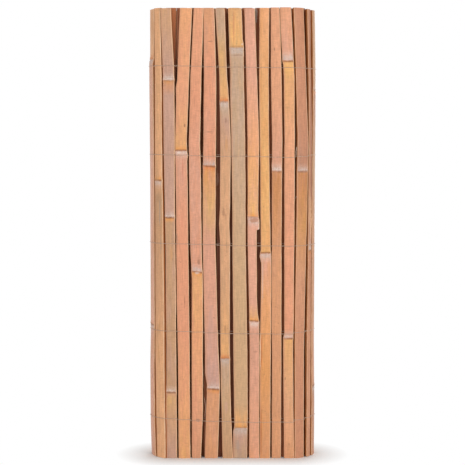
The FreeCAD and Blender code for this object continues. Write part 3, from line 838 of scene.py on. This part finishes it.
# Hidden slats that show in a gap or that keep daylight out of one: how far each lies to its right
# by height, its tones, which are dark as painted shade, and its marks.
SEEN_IN_GAPS = {
    "turn_2_slats_03": ([(0, 1.9), (500, 1.9)], [(0, COCOA), (500, COCOA)], []),
    "turn_2_slats_07": (
        STRAIGHT,
        [(0, CINNAMON), (150, CINNAMON), (170, UMBER), (262, UMBER), (280, CINNAMON), (500, COCOA)],
        [(493, -0.85, 9, 1.6, GREY_STAIN, 0.85), (214, -0.85, 9, 1.4, GREY_STAIN, 0.3)],
    ),
    "turn_2_slats_09": (STRAIGHT, [(0, UMBER), (500, UMBER)], []),
    "turn_2_slats_10": (
        STRAIGHT, [(0, UMBER), (340, UMBER), (500, COCOA)],
        [(312, -0.85, 8, 2.2, TAUPE, 0.4), (301, -0.85, 1.0, 2.2, STAIN, 0.8)],
    ),
    "turn_2_slats_13": ([(0, -0.3), (440, -0.5), (500, -0.85)], [(0, COCOA), (500, COCOA)], []),
    "turn_2_slats_14": (
        [(0, 0.9), (440, 1.3), (500, 2.1)], [(0, UMBER), (430, COCOA), (500, CINNAMON)], [],
    ),
    "turn_2_slats_17": ([(0, -1.9), (500, -1.9)], [(0, UMBER), (500, UMBER)], []),
    "turn_3_slats_02": ([(0, 2.6), (500, 2.6)], [(0, UMBER), (500, UMBER)], []),
}
# The strip turns inwards after this slat, which is the last to show from behind.
LAST_IN_SIGHT = "turn_2_slats_01"
OUTER_TURN = ["slat_%02d" % number for number in range(1, 28)]
HIDDEN_BEVELS = (0.12, 0.12)
HIDDEN_TURNS = ["turn_2_slats", "turn_3_slats"]
# How far an ordinary slat's edges and face stray: the heights, the least and the most.
STRAYS = {
    "left": ((0, 90, 210, 330, 420, 500), -0.75, 0.3),
    "right_edge": ((0, 110, 190, 300, 410, 500), -0.3, 0.75),
    "sink": ((0, 160, 320, 500), -0.3, 0.1),
}
TILT_RANGE = (-0.12, 0.12)
BEVEL_RANGE = (0.25, 0.6)
TOP_DROP_RANGE = (0.0, 0.9)
FOOT_RISE_RANGE = (0.0, 0.4)
TWIST_RANGE = (-1.8, 1.8)
CRACK_CHANCE = 0.3
CRACK_WIDTH = 0.08
CRACK_DEPTH = 0.8


def turn_slat(slat, degrees):
    """Let a slat lie twisted in its wires, by so many degrees anticlockwise from above."""
    turn = Matrix.Rotation(math.radians(degrees), 2)
    slat["right"] = turn @ slat["right"]
    slat["out"] = turn @ slat["out"]


def front_slat(slat, look, number):
    """Give a slat of the front its own look."""
    look = {**UNMARKED, **look}
    for part in ("tones", "streak", "left", "sink", "cracks", "marks", "tilt", "bevels", "top_drop"):
        slat[part] = look[part]
    slat["right_edge"] = look["right"]
    slat["right_closed"] = look["closed"]
    at_left = FRONT.get("slat_%02d" % (number + 2), {})
    slat["left_closed"] = at_left.get("closed", STRAIGHT)
    slat["seed"] = 3.0 + 2.3 * number
    slat["waviness"] = 0.15
    slat["foot_rise"] = 0.15 * (number % 3)
    slat["rings"] = [(height, *ring) for height, ring in zip(slat["knots"], look["rings"])]
    slat["section_steps"] = CRACKED_SECTION_STEPS if slat["cracks"] else SECTION_STEPS
    slat["step"] = STATION_STEP
    turn_slat(slat, look["twist"])


def ordinary_slat(slat, number, chance, runs):
    """Give a slat of the back, the ends or a hidden turn a look of its own by seeded chance."""
    slat["seed"] = 60.0 + 1.7 * number
    slat["waviness"] = 0.7
    slat["right_closed"] = slat["left_closed"] = STRAIGHT
    for line, (heights, least, most) in STRAYS.items():
        slat[line] = [(height, chance.uniform(least, most)) for height in heights]
    slat["tilt"] = chance.uniform(*TILT_RANGE)
    slat["bevels"] = (chance.uniform(*BEVEL_RANGE), chance.uniform(*BEVEL_RANGE))
    slat["top_drop"] = chance.uniform(*TOP_DROP_RANGE)
    slat["foot_rise"] = chance.uniform(*FOOT_RISE_RANGE)
    tones, slat["streak"] = runs[number % len(runs)]
    slat["tones"] = [
        (0, tones[0]), (chance.uniform(150, 220), tones[1]), (chance.uniform(280, 360), tones[0]),
        (500, tones[2]),
    ]
    slat["rings"] = [
        (height, chance.choice((-1, 1)), chance.choice((PEARL, FROST, ASH)), chance.uniform(3.0, 7.0),
         chance.choice((BRIGHT_LIP, LIP, RED_LIP)))
        for height in slat["knots"]
    ]
    slat["marks"] = [
        (chance.uniform(20, 480), chance.uniform(-0.6, 0.6), chance.uniform(1, 12),
         chance.uniform(0.5, 1.6), chance.choice((STAIN, RED_STAIN, GREY_STAIN, OCHRE)),
         chance.uniform(0.3, 0.5))
        for _ in range(chance.choice((1, 2, 2, 3)))
    ]
    slat["cracks"] = []
    slat["section_steps"], slat["step"] = SECTION_STEPS, STATION_STEP
    if chance.random() < CRACK_CHANCE:
        place = (chance.uniform(60, 440), chance.uniform(-0.7, 0.7), chance.uniform(6, 22))
        slat["cracks"] = [(*place, CRACK_WIDTH, CRACK_DEPTH)]
        slat["section_steps"] = CRACKED_SECTION_STEPS
    turn_slat(slat, chance.uniform(*TWIST_RANGE))


def hide_slat(slat, name):
    """Make a slat of a hidden turn plain, apart from what shows of it in a gap."""
    lie, tones, marks = SEEN_IN_GAPS.get(name, (STRAIGHT, slat["tones"], []))
    slat["left"] = slat["right_edge"] = lie
    slat["tones"], slat["marks"] = tones, marks
    slat["sink"], slat["cracks"] = STRAIGHT, []
    slat["top_drop"] = slat["foot_rise"] = 0.0
    slat["bevels"] = HIDDEN_BEVELS
    slat["section_steps"], slat["step"] = HIDDEN_SECTION_STEPS, HIDDEN_STATION_STEP


def keep(piece, slot, *nodes):
    """Let a finished piece stand for its nodes."""
    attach(piece, "root")
    if nodes:
        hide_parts(*nodes)


def build_slats():
    """Dress every slat, and return them all in order along the strip."""
    chance = random.Random(11)
    strip = []
    for node in OUTER_TURN + HIDDEN_TURNS:
        hidden = node in HIDDEN_TURNS
        for index, corners in enumerate(solids(node)):
            slat = slat_frame(corners)
            number = len(strip)
            name = "%s_%02d" % (node, index + 1) if hidden else node
            if name in FRONT:
                front_slat(slat, FRONT[name], number)
            else:
                # A hidden slat out of sight takes the darker runs of tones, as painted shade.
                in_shade = hidden and name != LAST_IN_SIGHT
                ordinary_slat(slat, number, chance, PAINTED_SHADE_RUNS if in_shade else ORDINARY)
            if hidden:
                hide_slat(slat, name)
            skin = bamboo_skin("bamboo_skin_%02d" % (number + 1), slat, 10.0 * number)
            keep(dress_slat("dressed_" + name, slat, skin), "bamboo", node)
            strip.append(slat)
    return strip


# How far each hand-tied row of wires strays up or down from level, by slat from the outer end.
ROW_STRAY = [
    [(0, 3.2), (1, 3.2), (3, 1.4), (4, -1.4), (8, -1.2), (11, 0.3), (13, 2.4), (15, 2.8), (20, 0)],
    [(0, 2.8), (1, 2.8), (3, 1.4), (4, -0.6), (9, -0.2), (11, 1.8), (13, 2.8), (15, 2.8), (20, 0)],
    [(0, 0.5), (4, -0.8), (8, -0.5), (10, 0.8), (13, 1.8), (15, 1.8), (20, 0)],
    [(0, 2.2), (2, 1.0), (4, -0.8), (9, 0.0), (13, 1.6), (15, 1.8), (20, 0)],
    [(0, -1.0), (4, -1.4), (8, -0.7), (11, 0.4), (15, 1.2), (20, 0)],
]
STRAY_PER_SLAT = 0.35
ROW_WANDER = 0.6
LOOSE_CROSSING = 1.6
CROSSING_STAND = 0.7
WIRE_SAG = 0.3
SAG_PER_SLAT = 0.7
ROW_SEED = 9.0
WIRE_PLACES = (0.96, 0.75, 0.4, 0.0, -0.4, -0.75, -0.96)
# The points of a strand's cut end, from its tip: how far past the slat's edge each lies, how far
# out, and then how far out and up it is moved for the strand that starts in front, and in and
# down for the other. The tip reaches a little further in each higher row.
WIRE_TAIL = ((3.4, -0.9, -0.7, 1.6), (2.2, 0.5, -0.5, 0.9), (0.8, 0.0, 0.3, 0.0))
TIP_REACH_PER_ROW = 0.4


def wire_tail(slat, row, face_side):
    """The points of a strand's cut end, from its tip to the edge of the first slat."""
    start = WIRE_ROWS[row] + ROW_STRAY[row][0][1]
    end = edge_at(slat, start, 1)
    points = []
    for beyond, out, parting, rise in WIRE_TAIL:
        if not points:
            beyond += TIP_REACH_PER_ROW * row
        height = start + rise * face_side
        points.append(slat_point(slat, end + beyond, out + parting * face_side, height))
    return points


def strand_route(strip, row, letter):
    """The points that one strand of a row follows, from the strip's outer end inwards."""
    lift = WIRE_DIAMETER / 2 + WIRE_CLEARANCE
    face_side = 1 if letter == "a" else -1
    route = wire_tail(strip[0], row, face_side)
    turned = 0.0
    for index, slat in enumerate(strip):
        if index:
            turned += strip[index - 1]["out"].angle(slat["out"])
        height = WIRE_ROWS[row] + CLIMB_PER_TURN * turned / (2 * math.pi) + between(ROW_STRAY[row], index)
        height += ROW_WANDER * noise.noise(Vector((index * STRAY_PER_SLAT, row * ROW_SEED, 5.0)))
        left, right = edge_at(slat, height, -1), edge_at(slat, height, 1)
        middle, half = (left + right) / 2, (right - left) / 2
        sag = WIRE_SAG * noise.noise(Vector((index * SAG_PER_SLAT, row * ROW_SEED, 3.0)))
        for t in WIRE_PLACES:
            if face_side > 0:
                out = skin_height(slat, t, height) + lift
            else:
                out = wall_depth(slat, t, height) - lift
            route.append(slat_point(slat, middle + t * half, out, height + sag * (1 - t * t)))
        if index + 1 < len(strip):
            following = strip[index + 1]
            near = slat_point(slat, left, 0.0, height)
            far = slat_point(following, edge_at(following, height, 1), 0.0, height)
            # The crossing stands out a little at the mouth of the gap, and most at the first one.
            mouth = slat["out"].to_3d() * (LOOSE_CROSSING if index == 0 else CROSSING_STAND)
            crossing = (near + far) / 2 + mouth * METRES
            crossing.z = (height + face_side * STRAND_SPACING / 2) * METRES
            route.append(crossing)
        face_side = -face_side
    return route


def smooth_route(route, steps=2):
    """More points on a smooth line through the route's own points."""
    fine = []
    for i in range(len(route) - 1):
        before, start = route[max(i - 1, 0)], route[i]
        end, after = route[i + 1], route[min(i + 2, len(route) - 1)]
        for step in range(steps):
            t = step / steps
            fine.append(
                0.5 * (
                    2 * start + (end - before) * t
                    + (2 * before - 5 * start + 4 * end - after) * t * t
                    + (3 * start - before - 3 * end + after) * t * t * t
                )
            )
    fine.append(route[-1])
    return fine


def bend_wire(name, route, diameter=WIRE_DIAMETER):
    """A round wire along a route."""
    radius = diameter / 2 * METRES
    verts, faces = [], []
    side = None
    for i, point in enumerate(route):
        ahead = (route[min(i + 1, len(route) - 1)] - route[max(i - 1, 0)]).normalized()
        if side is None:
            side = ahead.cross(Vector((0, 0, 1)))
            if side.length < 0.01:
                side = ahead.cross(Vector((0, 1, 0)))
        side = (side - ahead * side.dot(ahead)).normalized()
        over = ahead.cross(side)
        for k in range(WIRE_SIDES):
            angle = 2 * math.pi * k / WIRE_SIDES
            verts.append(point + (side * math.cos(angle) + over * math.sin(angle)) * radius)
    for i in range(len(route) - 1):
        low, high = i * WIRE_SIDES, (i + 1) * WIRE_SIDES
        for k in range(WIRE_SIDES):
            j = (k + 1) % WIRE_SIDES
            faces.append((low + k, low + j, high + j, high + k))
    faces.append(tuple(reversed(range(WIRE_SIDES))))
    faces.append(tuple(range((len(route) - 1) * WIRE_SIDES, len(route) * WIRE_SIDES)))
    piece = new_piece(name, verts, faces, WIRE)
    smooth_faces(piece.data, WIRE_CORNER_DEGREES)
    return piece


def build_wires(strip):
    for row in range(len(WIRE_ROWS)):
        for letter in "ab":
            route = strand_route(strip, row, letter)
            piece = bend_wire("bound_row_%d_%s" % (row + 1, letter), smooth_route(route))
            keep(piece, "binding_wire", "wire_row_%d_strand_%s" % (row + 1, letter))


# Short ends of wire left over from tying: the slat each is on, and its places across, out from
# the middle of the slat, and up.
WIRE_SCRAPS = {
    "looped_scrap": ("slat_04", [
        (-7.6, 0.2, 337.5), (-7.4, 1.5, 341), (-6.8, 2.0, 345), (-6.2, 2.0, 347.5),
        (-5.9, 1.9, 345.5), (-6.1, 1.8, 341), (-6.6, 1.5, 338), (-7.3, 1.0, 336.5),
    ]),
    "curved_scrap": ("slat_11", [
        (-7.9, -0.5, 46.0), (-7.6, 1.0, 50), (-7.0, 1.8, 55), (-7.1, 2.1, 60), (-7.8, 1.9, 65),
        (-8.1, 0.6, 68),
    ]),
    "short_scrap": ("slat_04", [
        (-7.4, 0.2, 290.5), (-7.2, 1.3, 291.5), (-6.6, 1.9, 292.5), (-6.0, 2.0, 293.0),
    ]),
    "upright_scrap": ("slat_14", [
        (6.6, 0.4, 240.5), (6.7, 1.6, 244), (6.4, 2.1, 248.5), (6.5, 2.0, 252),
    ]),
}
SCRAP_DIAMETER = 0.45
SCRAP_STEPS = 5
# The little twist of wire: its slat, its place across and up, where it rests on the skin, its
# turns, how it stands and rises off the skin, and its thickness.
TWIST_SLAT = "slat_12"
TWIST_PLACE = (0.6, 43.0)
TWIST_REST = (0.1, 42.0)
TWIST_TURNS = 1.2
TWIST_STAND = 0.3
TWIST_RISE = 0.5
TWIST_RADIUS = 1.5
TWIST_STEPS = 14
TWIST_DIAMETER = 0.5


def build_scraps(strip):
    """The loose ends and the little twist of wire that the tying left on the front."""
    by_name = dict(zip(OUTER_TURN, strip))
    for name, (slat_name, places) in WIRE_SCRAPS.items():
        route = [slat_point(by_name[slat_name], *place) for place in places]
        keep(bend_wire(name, smooth_route(route, SCRAP_STEPS), SCRAP_DIAMETER), "binding_wire")
    slat = by_name[TWIST_SLAT]
    across, up = TWIST_PLACE
    skin = skin_height(slat, *TWIST_REST)
    twist = []
    for step in range(TWIST_STEPS + 1):
        angle = 2 * math.pi * TWIST_TURNS * step / TWIST_STEPS
        out = skin + TWIST_STAND + TWIST_RISE * step / TWIST_STEPS
        sideways, upwards = TWIST_RADIUS * math.cos(angle), TWIST_RADIUS * math.sin(angle)
        twist.append(slat_point(slat, across + sideways, out, up + upwards))
    keep(bend_wire("knotted_scrap", smooth_route(twist), TWIST_DIAMETER), "binding_wire")


# Slivers that have torn up from the skin: the slat, the heights of their two ends, their place
# across from -1 to 1, their width, and how far they stand off the skin.
SLIVERS = {
    "torn_sliver_1": ("slat_03", 245.0, 292.0, 0.15, 1.6, 0.5),
    "torn_sliver_2": ("slat_03", 262.0, 300.0, -0.5, 0.9, 0.3),
    "torn_sliver_3": ("slat_07", 104.0, 142.0, -0.95, 0.9, 0.2),
    "torn_sliver_4": ("slat_09", 446.0, 459.0, 0.97, 0.8, 0.1),
}
SLIVER_THICKNESS = 0.45
SLIVER_STEP = 1.5
SLIVER_TIP = 0.04
SLIVER_WANDER = 0.5
SLIVER_WANDER_LENGTH = 9.0
SLIVER_RAGGEDNESS = 0.8
SLIVER_RAG_LENGTH = 2.2


def build_slivers(strip):
    """Thin splinters, ragged along both edges and pointed at both ends."""
    by_name = dict(zip(OUTER_TURN, strip))
    for seed, (name, (slat_name, low, high, t, width, stand)) in enumerate(SLIVERS.items()):
        slat = by_name[slat_name]
        verts, faces = [], []
        rows = int((high - low) / SLIVER_STEP)
        for row in range(rows + 1):
            share = row / rows
            height = low + (high - low) * share
            left, right = edge_at(slat, height, -1), edge_at(slat, height, 1)
            spot = Vector((height / SLIVER_WANDER_LENGTH, seed * 7.0, 1.0))
            wander = SLIVER_WANDER * noise.noise(spot)
            middle = (left + right) / 2 + t * (right - left) / 2 + wander
            from_tip = min(max(share, SLIVER_TIP), 1 - SLIVER_TIP)
            half = width / 2 * math.sin(math.pi * from_tip) ** 0.5
            spot = Vector((height / SLIVER_RAG_LENGTH, seed * 5.0, 3.0))
            half *= 1 + SLIVER_RAGGEDNESS * noise.noise(spot)
            out = skin_height(slat, t, height) + stand * math.sin(math.pi * share)
            under = out - SLIVER_THICKNESS
            for across, level in ((-half, out), (half, out), (half, under), (-half, under)):
                verts.append(slat_point(slat, middle + across, level, height))
        for row in range(rows):
            for i in range(4):
                j = (i + 1) % 4
                faces.append((4 * row + i, 4 * row + j, 4 * row + 4 + j, 4 * row + 4 + i))
        faces += [(3, 2, 1, 0), tuple(4 * rows + i for i in range(4))]
        keep(new_piece(name, verts, faces, BEVEL), "bamboo")


# How far the floor reaches from its middle, in metres.
FLOOR_REACH = 4.0
# The floor holds the roll's shadow up to here from its core line, in metres, and fades to white.
SHADOW_NEAR = 0.026
SHADOW_FAR = 0.065


def build_floor():
    """A plain pale floor. Near the roll it holds its shadow, and further off it is plain white."""
    material = new_material("pale_studio_floor")
    place = add(material, "ShaderNodeTexCoord").outputs["Object"]
    # The patch that holds the shadow has the roll's own outline, from the line along its core.
    parts = add(material, "ShaderNodeSeparateXYZ", {"Vector": place})
    either = add(material, "ShaderNodeMath", {0: parts.outputs["X"]}, operation="ABSOLUTE")
    beyond = add(material, "ShaderNodeMath", {0: either, 1: CORE_HALF_WIDTH * METRES}, operation="SUBTRACT")
    sideways = add(material, "ShaderNodeMath", {0: beyond, 1: 0.0}, operation="MAXIMUM")
    from_core = add(material, "ShaderNodeCombineXYZ", {"X": sideways, "Y": parts.outputs["Y"]})
    distance = add(material, "ShaderNodeVectorMath", {0: from_core}, operation="LENGTH")
    far = add(
        material, "ShaderNodeMapRange",
        {"Value": distance, "From Min": SHADOW_NEAR, "From Max": SHADOW_FAR},
    )
    paths = add(material, "ShaderNodeLightPath")
    seen = add(
        material, "ShaderNodeMath", {0: paths.outputs["Is Camera Ray"], 1: paths.outputs["Is Glossy Ray"]},
        operation="MAXIMUM",
    )
    share = add(material, "ShaderNodeMath", {0: seen, 1: far}, operation="MULTIPLY")
    matt = add(material, "ShaderNodeBsdfDiffuse", {"Color": hex_colour("#FAF9F8")})
    white = add(material, "ShaderNodeEmission", {"Color": (1, 1, 1, 1), "Strength": 1.0})
    mixed = add(material, "ShaderNodeMixShader", {0: share, 1: matt, 2: white})
    add(material, "ShaderNodeOutputMaterial", {"Surface": mixed})
    corners = [(x * FLOOR_REACH, y * FLOOR_REACH, 0) for x, y in ((-1, -1), (1, -1), (1, 1), (-1, 1))]
    new_piece("studio_floor", corners, [(0, 1, 2, 3)], material)


# Each lamp's place and size in metres, and its power in watts.
LAMPS = {
    "right_front_lamp": ((1.2, -1.7, 0.5), 1.1, 13.7),
    "left_front_lamp": ((-1.1, -1.8, 0.35), 1.3, 8.7),
    "back_lamp": ((0.5, 1.8, 0.7), 1.3, 15.0),
}
LAMP_AIM = (0.0, 0.0, 0.25)
SKY_STRENGTH = 0.55
# The camera's place and what it looks at, in metres, and its lens in millimetres.
CAMERA_PLACE = (0.0, -1.5, 0.35)
CAMERA_AIM = (0.0, -0.021, 0.2529)
CAMERA_LENS = 103.6


def aim(holder, place, target):
    """Put a lamp or the camera in its place, looking at its target."""
    holder.location = place
    sight = Vector(target) - Vector(place)
    holder.rotation_euler = sight.to_track_quat("-Z", "Y").to_euler()
    bpy.context.scene.collection.objects.link(holder)


def build_light():
    """Soft light from all round, with a broad lamp before the roll at each side and one behind."""
    world = bpy.data.worlds.new("studio")
    bpy.context.scene.world = world
    world.use_nodes = True
    world.node_tree.nodes.clear()
    paths = add(world, "ShaderNodeLightPath")
    seen = paths.outputs["Is Camera Ray"]
    for ray in ("Is Glossy Ray", "Is Transmission Ray"):
        seen = add(world, "ShaderNodeMath", {0: seen, 1: paths.outputs[ray]}, operation="MAXIMUM")
    soft = add(world, "ShaderNodeBackground", {"Color": (1, 1, 1, 1), "Strength": SKY_STRENGTH})
    white = add(world, "ShaderNodeBackground", {"Color": (1, 1, 1, 1), "Strength": 1.0})
    mixed = add(world, "ShaderNodeMixShader", {0: seen, 1: soft, 2: white})
    add(world, "ShaderNodeOutputWorld", {"Surface": mixed})
    for name, (place, size, power) in LAMPS.items():
        lamp = bpy.data.lights.new(name, "AREA")
        lamp.shape = "DISK"
        lamp.size = size
        lamp.energy = power
        aim(bpy.data.objects.new(name, lamp), place, LAMP_AIM)


def build_camera():
    """A camera a little above the roll's middle, square to its front."""
    camera = bpy.data.cameras.new("camera")
    camera.sensor_width = 36.0
    camera.lens = CAMERA_LENS
    camera.clip_end = 20.0
    holder = bpy.data.objects.new("camera", camera)
    aim(holder, CAMERA_PLACE, CAMERA_AIM)
    bpy.context.scene.camera = holder


strip = build_slats()
build_wires(strip)
build_scraps(strip)
build_slivers(strip)
build_floor()
build_light()
build_camera()
bpy.context.scene.view_settings.view_transform = "Standard"
